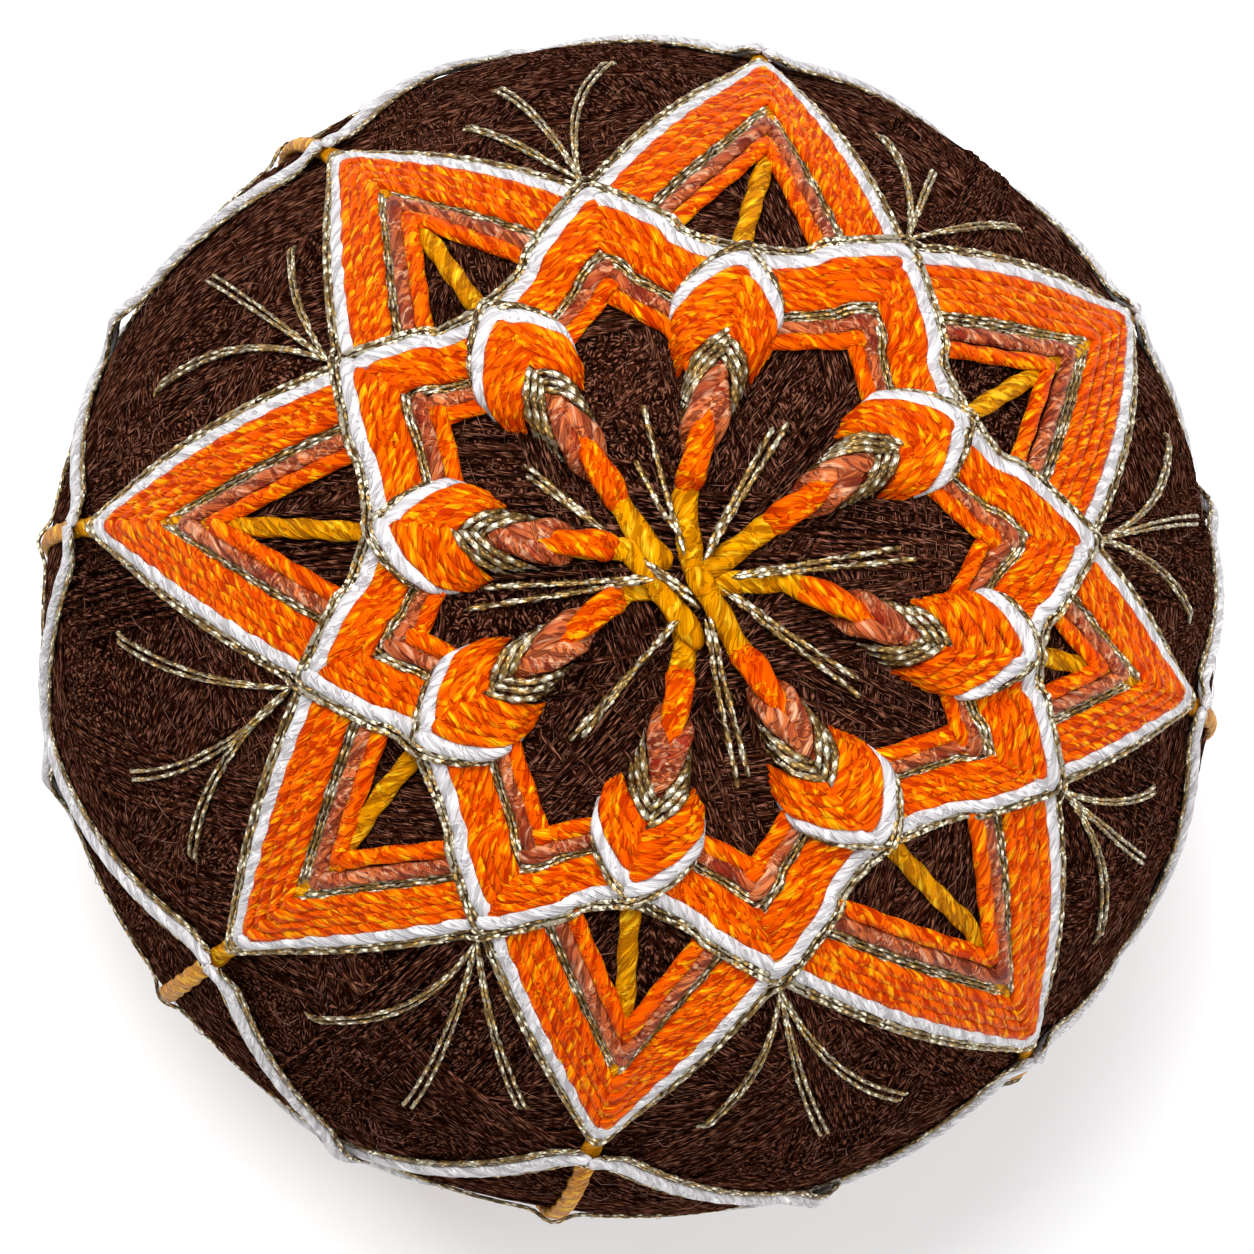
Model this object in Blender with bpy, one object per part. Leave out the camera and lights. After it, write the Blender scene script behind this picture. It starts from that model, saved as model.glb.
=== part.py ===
"""A temari ball: a thread-wound ball with an eight-petalled chrysanthemum on each pole.

Units are metres and +Z is up. The poles lie on the Z axis and the ball stands on a small flat
spot at its lower pole, where the origin is. A place on the ball is an azimuth, in degrees from
+X towards +Y, and a polar angle, in degrees from the pole of the hemisphere that it lies on.
"""

import math

import bmesh
import bpy
from mathutils import Vector

MM = 0.001

# The ball, and the layers of thread on it. Heights are measured out from the wound surface.
BALL_RADIUS = 31.8 * MM
THREAD_THICKNESS = 0.5 * MM
CLEARANCE = 0.3 * MM
GROUND = CLEARANCE
OVER_ONE = GROUND + THREAD_THICKNESS + CLEARANCE

# The winding leaves shallow grooves between bundles of thread, on great circles of these tilts.
WINDING_DEPTH = 0.18 * MM
GROOVE_HALF_WIDTH = 0.075
GROOVES = 11

# The yellow threads cross in a low pile at each pole, and the lower pile is pressed flat.
PILE_HEIGHT = 1.25 * MM
PRESSED = 0.12 * MM
PILE_STEP = 0.03 * MM
PILE_POLAR, PILE_FOOT_POLAR = 3.0, 6.5
CENTRE_HEIGHT = BALL_RADIUS + PILE_HEIGHT

# One row for each of the eight spokes, in degrees. The stitching is by hand, so none is alike.
# tip azimuth, white row's tip, inner rows' tip, head azimuth, head's top, neck azimuth, neck's top
SPOKES = (
    (79.0, 66.0, 45.0, 82.5, 29.8, 86.0, 18.6),
    (126.0, 64.0, 45.0, 128.5, 30.3, 131.5, 20.6),
    (172.0, 67.5, 46.0, 171.5, 28.8, 170.0, 18.9),
    (218.5, 62.0, 41.5, 211.0, 28.3, 208.0, 18.2),
    (262.5, 60.0, 42.5, 258.5, 28.2, 258.0, 19.0),
    (311.0, 69.0, 47.0, 307.0, 28.0, 301.0, 17.8),
    (350.0, 60.5, 40.0, 349.0, 31.2, 344.5, 19.2),
    (32.0, 67.0, 41.0, 32.0, 28.0, 36.0, 18.0),
)
SPOKE_COUNT = len(SPOKES)
LOWER_SHIFT = 3  # the lower hemisphere takes its sizes from the spoke this many places on

# Polar angles between which a spoke's line turns from its neck to its head and to its tip.
NECK_POLAR, HEAD_POLAR, TIP_POLAR = 18.0, 29.0, 44.0
NECK_START = 10.0

# A leg of thread runs from a tip to the next spoke's head. A place across it is a share of its
# width, from its inner edge to its outer one. Its rows, as shares and heights of their ridges:
ROW_PROFILE = (
    (0.00, 0.40),
    (0.15, 0.90),
    (0.31, 0.50),
    (0.45, 1.00),
    (0.85, 0.90),
    (1.00, 0.35),
)
WHITE_SHARE = 0.875
NECK_SHARE = 0.33

# How far a row bends towards the pole as it passes under a head, and the arm that it ends in.
BEND_START, BEND_DEGREES, BEND_POWER = 0.78, 8.5, 2.2
ARM_DROP_LEAST, ARM_DROP_MORE, ARM_DROP_POWER = 2.5, 6.5, 1.6
ARM_WIDTH_LEAST, ARM_WIDTH_MORE = 0.5 * MM, 2.4 * MM

# Undersides and tops of the three layers of a chrysanthemum, which grow into each other.
OUTER_UNDERSIDE, OUTER_TOP = 0.30 * MM, 0.95 * MM
MIDDLE_UNDERSIDE, MIDDLE_TOP = 0.48 * MM, 1.60 * MM
HEAD_UNDERSIDE, HEAD_TOP, NECK_TOP = 1.28 * MM, 2.45 * MM, 1.95 * MM
CHORD_SAG = 0.18 * MM  # how far a flat stretch of an underside dips between its corners
INNER_END, OUTER_END = 0.79, 0.92  # how far along a leg its inner and outer rows reach
HEAD_ARM_FALL = 0.35

# Widths of the yellow division threads, the zigzag belt and the gold thread on the equator.
DIVISION_WIDTH = 1.1 * MM
BELT_WIDTH = 1.9 * MM
BELT_STEP = 0.006 * MM
EQUATOR_WIDTH = 0.6 * MM
BELT_TIP_GAP = 5.4

# Gold needle stitches: a fan of strands past each crossing, and a pair between two necks.
# bearing from the way off the pole, and length, in degrees
FAN_STRANDS = ((-36.0, 9.5), (-13.0, 13.5), (11.0, 14.0), (35.0, 9.0))
FAN_GAP = 2.2
NEEDLE_WIDTH, NEEDLE_THICKNESS, NEEDLE_STEP = 0.5 * MM, 0.4 * MM, 0.05 * MM
NEEDLE_STUB, NEEDLE_HEIGHT = 0.1, 0.4 * MM
NEEDLE_START, NEEDLE_LENGTH, NEEDLE_SPREAD = 5.0, 12.5, 6.0

# colour, roughness, metallic
THREADS = {
    "wound_thread": ((0.045, 0.020, 0.016), 0.85, 0.0),
    "yellow_thread": ((0.80, 0.42, 0.02), 0.65, 0.0),
    "orange_thread": ((0.85, 0.20, 0.01), 0.65, 0.0),
    "white_thread": ((0.80, 0.78, 0.78), 0.60, 0.0),
    "gold_thread": ((0.62, 0.48, 0.22), 0.30, 0.9),
}

def clear_scene():
    for obj in list(bpy.data.objects):
        bpy.data.objects.remove(obj)


def thread_material(name):
    found = bpy.data.materials.get(name)
    if found:
        return found
    colour, roughness, metallic = THREADS[name]
    made = bpy.data.materials.new(name)
    made.use_nodes = True
    shader = made.node_tree.nodes["Principled BSDF"]
    shader.inputs["Base Color"].default_value = (*colour, 1.0)
    shader.inputs["Roughness"].default_value = roughness
    shader.inputs["Metallic"].default_value = metallic
    return made


def mix(a, b, t):
    return a + (b - a) * t


def ramp(x, start, end):
    """0 before start, 1 after end, and straight between them."""
    return min(1.0, max(0.0, (x - start) / (end - start)))


class Hemisphere:
    """The spokes of one chrysanthemum. side is 1 on top and -1 below."""

    def __init__(self, side):
        self.side = side
        self.name = "top" if side > 0 else "bottom"

    def outward(self, azimuth, polar):
        a, p = math.radians(azimuth), math.radians(polar)
        across = math.sin(p)
        return Vector((across * math.cos(a), across * math.sin(a), self.side * math.cos(p)))

    def point(self, azimuth, polar, height):
        """The point at this height over the wound surface."""
        return at_height(self.outward(azimuth, polar), height)

    def sizes(self, k):
        own = SPOKES[k % SPOKE_COUNT]
        if self.side > 0:
            return own
        other = SPOKES[(k + LOWER_SHIFT) % SPOKE_COUNT]
        turn = own[0] - other[0]
        return (own[0], other[1], other[2], other[3] + turn, other[4], other[5] + turn, other[6])

    def spoke_azimuth(self, k, polar):
        tip_azimuth, _, _, head_azimuth, _, neck_azimuth, _ = self.sizes(k)
        near = mix(neck_azimuth, head_azimuth, ramp(polar, NECK_POLAR, HEAD_POLAR))
        return mix(near, tip_azimuth, ramp(polar, HEAD_POLAR, TIP_POLAR))

    def tip_polar(self, k, share):
        _, white_tip, inner_tip, *_ = self.sizes(k)
        return mix(inner_tip, white_tip, share / WHITE_SHARE)

    def apex_polar(self, k, share):
        """Where the row crosses its spoke, on the neck or the head."""
        *_, head_top, _, neck_top = self.sizes(k)
        if share < NECK_SHARE:
            return mix(NECK_START, neck_top, share / NECK_SHARE)
        return mix(neck_top, head_top, (share - NECK_SHARE) / (WHITE_SHARE - NECK_SHARE))

    def knot(self, k):
        """The direction of the belt's knot, just past a tip."""
        tip_azimuth, white_tip, *_ = self.sizes(k)
        return self.outward(tip_azimuth, white_tip + BELT_TIP_GAP)


class Leg:
    """The rows from the tip on one spoke to the head on the next. turn is 1 or -1."""

    def __init__(self, hemisphere, tip_spoke, turn):
        self.of = hemisphere
        self.tip = tip_spoke
        self.head = tip_spoke + turn
        self.turn = turn

    def ends(self, share):
        """(azimuth, polar) of the row at its tip, and where a straight thread meets the spoke."""
        tip_polar = self.of.tip_polar(self.tip, share)
        apex_polar = self.of.apex_polar(self.head, share)
        tip_azimuth = self.of.spoke_azimuth(self.tip, tip_polar)
        apex_azimuth = self.of.spoke_azimuth(self.head, apex_polar)
        span = (apex_azimuth - tip_azimuth) * self.turn % 360
        return tip_azimuth, tip_polar, tip_azimuth + self.turn * span, apex_polar + bend(share)

    def place(self, share, along):
        """(azimuth, polar) of the row: a thread pulled straight, which bends under the head."""
        tip_azimuth, tip_polar, met_azimuth, met_polar = self.ends(share)
        span = math.radians(abs(met_azimuth - tip_azimuth))
        tip_part = math.sin(span * (1 - along)) / math.tan(math.radians(tip_polar))
        met_part = math.sin(span * along) / math.tan(math.radians(met_polar))
        polar = math.degrees(math.atan2(math.sin(span), tip_part + met_part))
        bent = bend(share) * ramp(along, BEND_START, 1.0) ** 2
        return mix(tip_azimuth, met_azimuth, along), polar - bent

    def arm(self, share, along):
        """(azimuth, polar) past the spoke: the arm that wraps round the far side of the head."""
        apex = self.of.apex_polar(self.head, share)
        drop = ARM_DROP_LEAST + ARM_DROP_MORE * share
        polar = apex - drop * along ** ARM_DROP_POWER
        width = (ARM_WIDTH_LEAST + ARM_WIDTH_MORE * share) * math.sin(math.pi / 2 * along)
        around = math.degrees(width / (BALL_RADIUS * math.sin(math.radians(polar))))
        return self.of.spoke_azimuth(self.head, polar) + self.turn * around, polar

    def crossing(self, share):
        """How far along the row crosses its like of the leg between the same two spokes."""
        other = Leg(self.of, self.head, -self.turn)
        low, high = 0.0, 1.0
        for _ in range(30):
            middle = (low + high) / 2
            azimuth, polar = self.place(share, middle)
            tip_azimuth, _, met_azimuth, _ = other.ends(share)
            turned = (tip_azimuth - azimuth) * self.turn % 360
            along = turned / abs(met_azimuth - tip_azimuth)
            if polar > other.place(share, along)[1]:
                low = middle
            else:
                high = middle
        return (low + high) / 2


def bend(share):
    return BEND_DEGREES * (1 - share) ** BEND_POWER


def at_height(outward, height):
    return outward * (BALL_RADIUS + height) + Vector((0, 0, CENTRE_HEIGHT))


def along_arc(start, end, t):
    """The direction this far along the shortest way from one direction to another."""
    angle = start.angle(end)
    return (start * math.sin((1 - t) * angle) + end * math.sin(t * angle)) / math.sin(angle)


def turned(start, bearing, away_from_pole, degrees):
    """The direction this many degrees from start, at a bearing in degrees from away_from_pole."""
    b, d = math.radians(bearing), math.radians(degrees)
    sideways = start.cross(away_from_pole)
    ahead = away_from_pole * math.cos(b) + sideways * math.sin(b)
    return start * math.cos(d) + ahead * math.sin(d)


def closed_mesh(name, sections, ring=False):
    """A closed body through sections of equally many points, capped or joined into a ring."""
    mesh = bpy.data.meshes.new(name)
    count, steps = len(sections[0]), len(sections)
    faces = []
    for i in range(steps if ring else steps - 1):
        n = (i + 1) % steps
        for j in range(count):
            k = (j + 1) % count
            faces.append((i * count + j, i * count + k, n * count + k, n * count + j))
    if not ring:
        faces.append(tuple(reversed(range(count))))
        faces.append(tuple((steps - 1) * count + j for j in range(count)))
    mesh.from_pydata([point for section in sections for point in section], [], faces)
    solid = bmesh.new()
    solid.from_mesh(mesh)
    bmesh.ops.triangulate(solid, faces=solid.faces)
    if solid.calc_volume(signed=True) < 0:
        bmesh.ops.reverse_faces(solid, faces=solid.faces)
    solid.to_mesh(mesh)
    solid.free()
    return bpy.data.objects.new(name, mesh)


ROUND_PROFILE = ((0.0, 0.0), (0.28, 1.0), (0.72, 1.0), (1.0, 0.0))
PEAKED_PROFILE = ((0.0, 0.0), (0.5, 1.0), (1.0, 0.0))


def strip(name, stations, width, thickness=THREAD_THICKNESS, shape=ROUND_PROFILE, ring=False):
    """A thread that lies on the ball along stations, each a direction and a height."""
    sections = []
    for i, (outward, height) in enumerate(stations):
        before = stations[i - 1][0] if i or ring else outward
        after = stations[(i + 1) % len(stations)][0] if ring or i < len(stations) - 1 else outward
        sideways = outward.cross(after - before).normalized()
        section = []
        for across, up in shape:
            base = at_height(outward, height + up * thickness)
            section.append(base + sideways * (across - 0.5) * width)
        sections.append(section)
    return closed_mesh(name, sections, ring)


def union(name, parts, thread, cutter=None):
    """One object from parts that cross each other, cut off at the floor if a cutter is given."""
    base = parts[0]
    base.name = name
    base.data.name = name
    base.data.materials.append(thread_material(thread))
    bpy.context.scene.collection.objects.link(base)
    if len(parts) > 1:
        helpers = bpy.data.collections.new(name + "_parts")
        bpy.context.scene.collection.children.link(helpers)
        for part in parts[1:]:
            part.hide_render = True
            part.display_type = "WIRE"
            helpers.objects.link(part)
        join = base.modifiers.new("join", "BOOLEAN")
        join.operation = "UNION"
        join.operand_type = "COLLECTION"
        join.collection = helpers
        join.solver = "EXACT"
        join.use_self = True
    if cutter:
        flat_spot = base.modifiers.new("flat_spot", "BOOLEAN")
        flat_spot.operation = "DIFFERENCE"
        flat_spot.object = cutter
        flat_spot.solver = "EXACT"
    return base


def floor_cutter():
    """Everything below the floor."""
    size = 2 * BALL_RADIUS
    bpy.ops.mesh.primitive_cube_add(size=size, location=(0, 0, -size / 2))
    cutter = bpy.context.object
    cutter.name = "floor_cutter"
    cutter.hide_render = True
    cutter.display_type = "WIRE"
    return cutter


def wound_ball():
    """The ball, wound from thread in bundles that leave shallow grooves between them."""
    bpy.ops.mesh.primitive_ico_sphere_add(subdivisions=4, radius=1.0)
    ball = bpy.context.object
    ball.name = "wound_ball"
    ball.data.name = "wound_ball"
    axes = []
    for i in range(GROOVES):
        tilt = math.acos(1 - 2 * (i + 0.5) / GROOVES)
        around = i * math.pi * (3 - math.sqrt(5))
        axes.append(Vector((math.sin(tilt) * math.cos(around), math.sin(tilt) * math.sin(around),
                            math.cos(tilt))))
    for vertex in ball.data.vertices:
        outward = vertex.co.normalized()
        nearest = min(abs(outward.dot(axis)) for axis in axes)
        sunk = WINDING_DEPTH * (1 - ramp(nearest, 0.0, GROOVE_HALF_WIDTH))
        vertex.co = at_height(outward, -sunk)
    ball.data.materials.append(thread_material("wound_thread"))
    for face in ball.data.polygons:
        face.use_smooth = True


def division_threads(hemispheres, cutter):
    """Eight yellow threads from pole to pole, which cross in a pile at each pole."""
    top = hemispheres[0]
    polars = (1.5, PILE_POLAR, PILE_FOOT_POLAR, 18.0, 29.0, 36.5, 44.0, 56.0, 68.0, 79.0)
    parts = []
    for k in range(SPOKE_COUNT):
        stations = []
        for side in hemispheres:
            half = []
            start = side.outward(side.spoke_azimuth(k, 0.0) + 180, polars[0])
            half.append((start, pile_height(0.0, k)))
            for polar in polars[1:]:
                outward = side.outward(side.spoke_azimuth(k, polar), polar)
                half.append((outward, pile_height(polar, k)))
            if side is top:
                stations += half
                stations.append((top.outward(top.spoke_azimuth(k, 90.0), 90.0), GROUND))
            else:
                stations += reversed(half)
        parts.append(strip(f"division_{k}", stations, DIVISION_WIDTH))
    union("division_threads", parts, "yellow_thread", cutter)


def pile_height(polar, k):
    """The underside of yellow thread k, which rises onto the pile at the pole."""
    top = PILE_HEIGHT + PRESSED + k * PILE_STEP
    return mix(top - THREAD_THICKNESS, GROUND, ramp(polar, PILE_POLAR, PILE_FOOT_POLAR))


def leg_section(hemisphere, place, underside, top):
    """A section right across a leg. place gives (azimuth, polar) from a share, and top a height."""
    section = []
    for share, up in ROW_PROFILE:
        section.append(hemisphere.point(*place(share), mix(underside, top(share), up)))
    for share in (1.0, 0.5, 0.0):
        section.append(hemisphere.point(*place(share), underside))
    return section


def outer_petal(hemisphere, k):
    """The tip of spoke k: two legs that meet in a point over the division thread."""
    rise = OVER_ONE + CHORD_SAG - OUTER_UNDERSIDE
    stations = ((0.93, 0.0), (0.55, 0.0), (0.21, 0.0), (0.085, rise), (0.0, rise))
    sections = []
    for turn in (-1, 1):
        leg = Leg(hemisphere, k, turn)
        half = []
        for part, lifted in stations if turn < 0 else stations[-2::-1]:
            half.append(leg_section(
                hemisphere,
                lambda share, leg=leg, part=part: leg.place(share, part * leg.crossing(share)),
                OUTER_UNDERSIDE + lifted,
                lambda share, lifted=lifted: OUTER_TOP + lifted,
            ))
        sections += half
    return closed_mesh(f"outer_{k}", sections)


def middle_petal(hemisphere, k):
    """The rows from the head of spoke k to the next one, which meet in a point between them."""
    sections = []
    for leg in (Leg(hemisphere, k + 1, -1), Leg(hemisphere, k, 1)):
        half = []
        for part in (1.0, 0.5, 0.0):
            half.append(leg_section(
                hemisphere,
                lambda share, leg=leg, part=part: leg.place(
                    share, mix(leg.crossing(share), mix(INNER_END, OUTER_END, share), part)),
                MIDDLE_UNDERSIDE,
                lambda share: MIDDLE_TOP,
            ))
        sections += half if leg.turn < 0 else half[-2::-1]
    return closed_mesh(f"middle_{k}", sections)


def head(hemisphere, k):
    """The mound on spoke k where the rows of two legs cross, with an arm down each side."""
    sections = []
    for side in (-1.0, -0.55, 0.0, 0.55, 1.0):
        leg = Leg(hemisphere, k - 1, 1) if side >= 0 else Leg(hemisphere, k + 1, -1)
        crown = 1 - HEAD_ARM_FALL * side * side
        sections.append(leg_section(
            hemisphere,
            lambda share, leg=leg, side=side: leg.arm(share, abs(side)),
            HEAD_UNDERSIDE,
            lambda share, crown=crown: HEAD_UNDERSIDE + crown * (
                mix(NECK_TOP, HEAD_TOP, ramp(share, 0.2, 0.6)) - HEAD_UNDERSIDE),
        ))
    return closed_mesh(f"head_{k}", sections)


def chrysanthemum(hemisphere):
    """Eight tips, eight petals between them, which lie over the tips, and eight heads on top."""
    parts = []
    for make in (outer_petal, middle_petal, head):
        for k in range(SPOKE_COUNT):
            parts.append(make(hemisphere, k))
    union(f"chrysanthemum_{hemisphere.name}", parts, "orange_thread")


def belt(hemispheres):
    """Two zigzags of white thread edged with gold, from knot to knot over the equator."""
    levels = ((-0.02, OVER_ONE), (0.06, OVER_ONE), (0.18, GROUND), (0.31, GROUND), (0.42, OVER_ONE),
              (0.58, OVER_ONE), (0.69, GROUND), (0.82, GROUND), (0.94, OVER_ONE), (1.02, OVER_ONE))
    top, bottom = hemispheres
    parts = []
    for k in range(SPOKE_COUNT):
        for turn in (1, -1):
            start, end = top.knot(k), bottom.knot(k + turn)
            laid = (2 * k + (turn > 0)) * BELT_STEP
            stations = [(along_arc(start, end, t), height + laid) for t, height in levels]
            parts.append(strip(f"belt_{k}_{turn}", stations, BELT_WIDTH))
    union("belt_zigzags", parts, "white_thread")


def equator(top):
    """A gold thread on the equator, over the division threads and under the zigzags."""
    stations = []
    for k in range(SPOKE_COUNT):
        here = top.sizes(k)[0]
        span = (top.sizes(k + 1)[0] - here) % 360
        for degrees, height in ((-4.5, GROUND), (-1.8, OVER_ONE), (1.8, OVER_ONE), (4.5, GROUND)):
            stations.append((top.outward(here + degrees, 90.0), height))
        for share in (0.37, 0.63):
            stations.append((top.outward(here + share * span, 90.0), GROUND))
    union("equator_thread", [strip("equator", stations, EQUATOR_WIDTH, ring=True)], "gold_thread")


def needle_stitches(hemisphere):
    """Gold strands: a fan past each crossing, and a pair between two necks."""
    pole = hemisphere.outward(0.0, 0.0)
    for k in range(SPOKE_COUNT):
        leg = Leg(hemisphere, k, 1)
        azimuth, polar = leg.place(1.0, leg.crossing(1.0))
        hub = hemisphere.outward(azimuth, polar + FAN_GAP)
        parts = []
        for i, (bearing, length) in enumerate(FAN_STRANDS):
            parts.append(strand(f"fan_{i}", hub, bearing, pole, length, i))
        union(f"needle_fan_{hemisphere.name}_{k + 1}", parts, "gold_thread")

        neck = hemisphere.spoke_azimuth(k, 0.0)
        span = (hemisphere.spoke_azimuth(k + 1, 0.0) - neck) % 360
        start = hemisphere.outward(neck + span / 2, NEEDLE_START)
        pair = []
        for i, bearing in enumerate((-NEEDLE_SPREAD, NEEDLE_SPREAD)):
            pair.append(strand(f"pair_{i}", start, bearing, pole, NEEDLE_LENGTH, i))
        union(f"needle_pair_{hemisphere.name}_{k + 1}", pair, "gold_thread")


def strand(name, start, bearing, pole, length, laid):
    """A gold strand on the ball from start, its bearing measured from the way off the pole."""
    off_pole = (start * start.dot(pole) - pole).normalized()
    height = NEEDLE_HEIGHT + laid * NEEDLE_STEP
    stations = []
    for degrees in (-NEEDLE_STUB, length):
        stations.append((turned(start, bearing, off_pole, degrees), height))
    return strip(name, stations, NEEDLE_WIDTH, NEEDLE_THICKNESS, PEAKED_PROFILE)


def main():
    clear_scene()
    hemispheres = (Hemisphere(1), Hemisphere(-1))
    wound_ball()
    division_threads(hemispheres, floor_cutter())
    for hemisphere in hemispheres:
        chrysanthemum(hemisphere)
        needle_stitches(hemisphere)
    belt(hemispheres)
    equator(hemispheres[0])


main()
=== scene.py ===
import math

import bpy
import numpy as np
from mathutils import Matrix, Vector


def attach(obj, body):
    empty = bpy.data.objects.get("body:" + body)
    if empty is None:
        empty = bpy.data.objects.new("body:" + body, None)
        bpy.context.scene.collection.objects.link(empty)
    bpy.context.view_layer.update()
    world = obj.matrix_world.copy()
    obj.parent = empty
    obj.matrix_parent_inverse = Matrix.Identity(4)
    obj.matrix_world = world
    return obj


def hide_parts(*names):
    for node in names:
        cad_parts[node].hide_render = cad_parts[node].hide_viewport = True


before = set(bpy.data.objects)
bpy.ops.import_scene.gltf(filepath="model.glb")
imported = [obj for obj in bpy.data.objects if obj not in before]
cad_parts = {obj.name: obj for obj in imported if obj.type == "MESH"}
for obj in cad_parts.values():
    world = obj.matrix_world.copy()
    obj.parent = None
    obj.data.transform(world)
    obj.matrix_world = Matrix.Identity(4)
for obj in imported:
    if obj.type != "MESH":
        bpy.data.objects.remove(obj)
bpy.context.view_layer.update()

# Lengths on the ball are in millimetres until a mesh is written in metres. A place on the ball
# is an azimuth from +X towards +Y and a polar angle from its hemisphere's pole, in degrees.
MM = 0.001
BALL_RADIUS = 31.8
CENTRE_HEIGHT = 33.05
DEGREE = math.pi / 180
MM_PER_DEGREE = BALL_RADIUS * DEGREE
SEED = 7

# The spokes, as in the solids: tip azimuth, white row's tip, inner rows' tip, head azimuth,
# head's top, neck azimuth, neck's top.
SPOKES = (
    (79.0, 66.0, 45.0, 82.5, 29.8, 86.0, 18.6),
    (126.0, 64.0, 45.0, 128.5, 30.3, 131.5, 20.6),
    (172.0, 67.5, 46.0, 171.5, 28.8, 170.0, 18.9),
    (218.5, 62.0, 41.5, 211.0, 28.3, 208.0, 18.2),
    (262.5, 60.0, 42.5, 258.5, 28.2, 258.0, 19.0),
    (311.0, 69.0, 47.0, 307.0, 28.0, 301.0, 17.8),
    (350.0, 60.5, 40.0, 349.0, 31.2, 344.5, 19.2),
    (32.0, 67.0, 41.0, 32.0, 28.0, 36.0, 18.0),
)
SPOKE_COUNT = len(SPOKES)
LOWER_SHIFT = 3
NECK_POLAR, HEAD_POLAR, TIP_POLAR = 18.0, 29.0, 44.0
WHITE_SHARE = 0.875
# How far from the pole the line of each spoke's thread passes inside the neck, in degrees.
NECK_AIMS = (3.5, 2.9, -1.9, -3.3, -0.55, -1.1, 2.7, 0.6)
# Where the belt's zigzag turns beyond each tip, as a polar angle.
KNOTS = (69.6, 67.0, 71.4, 66.4, 62.6, 72.6, 63.0, 70.8)
EDGE_DRAWN_IN = 1.2   # the white and gold rows lie this many degrees closer at a tip

# Where a row crosses the spoke at a head: share of the leg's width, degrees past the neck's
# top, degrees past the head's top. A place between takes the two parts together.
APEX_SHARES = (0.0, 0.146, 0.285, 0.382, 0.773, 0.922, 1.0)
APEX_PAST_NECK = (-6.0, -3.0, 0.6, 3.0)
APEX_PAST_HEAD = (-1.3, 0.5, 1.6)
BEND_START, BEND_DEGREES, BEND_POWER = 0.78, 8.5, 2.2

# The arm that a row ends in past a head's spoke: share, drop in degrees, half width.
ARM_SHARES = (0.0, 0.215, 0.297, 0.373, 0.431, 0.725, 0.86, 1.0)
ARM_DROPS = (7.3, 6.0, 5.4, 4.6, 3.8, 6.2, 6.4, 6.6)
ARM_WIDTHS = (0.10, 0.62, 1.20, 1.50, 1.85, 2.45, 2.62, 2.80)

# Rows of thread on a leg: kind, shares of the leg's width, half width, half width at a head,
# half thickness, and how far the row stands up at a head.
ROWS = (
    ("inner", (0.073,), 0.50, 0.52, 0.40, 0.80),
    ("rust", (0.215,), 0.48, 0.62, 0.40, 0.95),
    ("gold_in", (0.297, 0.335, 0.373), 0.16, 0.24, 0.16, 1.30),
    ("orange", (0.431, 0.529, 0.627, 0.725), 0.42, 0.47, 0.36, 1.05),
    ("white", (0.848,), 0.52, 0.54, 0.36, 0.95),
    ("gold_out", (0.936, 0.982), 0.21, 0.21, 0.17, 1.05),
)
LAYER = 0.62          # how much higher a row lies over another leg's rows
OVER_DIVISION = 0.50  # how much higher a row lies over a division thread
HEAD_REACH = 2.3

DIVISION_HALF_WIDTH, DIVISION_HALF_THICKNESS = 0.56, 0.36

PITCHES = {"inner": 4.4, "rust": 4.4, "orange": 3.4, "white": 4.2}
TONES = {"rust": 1.8}   # how unevenly a kind of row is dyed, where it isn't 1
PINCH = 0.14
STEP = 0.36           # spacing of sections along a pearl cotton thread
GOLD_STEP = 0.38
GOLD_PITCH, GOLD_PINCH = 1.1, 0.45

# Brown thread: bundles, strands in a bundle, spacing, half width, half thickness, pitch, step.
OUTER_WINDING = (62, 13, 0.30, 0.19, 0.16, 6.0, 2.2)
LOWER_WINDING = (23, 11, 0.82, 0.48, 0.12, 2.4, 3.6)
LOWER_LAYER_DEPTH, CORE_DEPTH = 0.14, 0.30
GOLDEN_ANGLE = math.pi * (3 - math.sqrt(5))
LOOSE_FIBRES, FIBRE_RADIUS = 1500, 0.016

# The belt: half width and thickness of its white threads and of the gold strands along them, and
# how far those strands lie from the middle of a white thread.
BELT_WHITE = (0.46, 0.34)
BELT_GOLD = (0.13, 0.13)
BELT_GOLD_OFFSETS = (-0.60, -0.84, 0.60, 0.84)
EQUATOR_HALF_WIDTH = 0.14
DIVISION_HEIGHT = 0.38

# Gold needle stitches past each crossing: bearing off the pole at the root and at the end, and
# length, in degrees.
FANS = (
    ((26, 28, 17.0), (3, 9, 22.0), (-5, -21, 25.0)),
    ((-20, -32, 17.5), (-9, -8, 25.0), (1, 23, 24.0)),
    ((-14, -24, 25.0), (26, 7, 26.0), (18, 33, 24.0)),
    ((2, -23, 24.0), (16, 8, 27.0), (33, 37, 22.0)),
    ((-9, -26, 20.0), (2, 9, 25.0), (13, 29, 26.0)),
    ((-5, 0, 22.0), (6, 21, 17.5), (-8, -23, 24.0)),
    ((10, 27, 24.0), (8, 5, 25.0), (-7, -23, 20.5)),
    ((9, 24, 18.0), (6, 3, 15.0), (-28, -30, 19.0)),
)
FAN_GAP = 0.6
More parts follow.
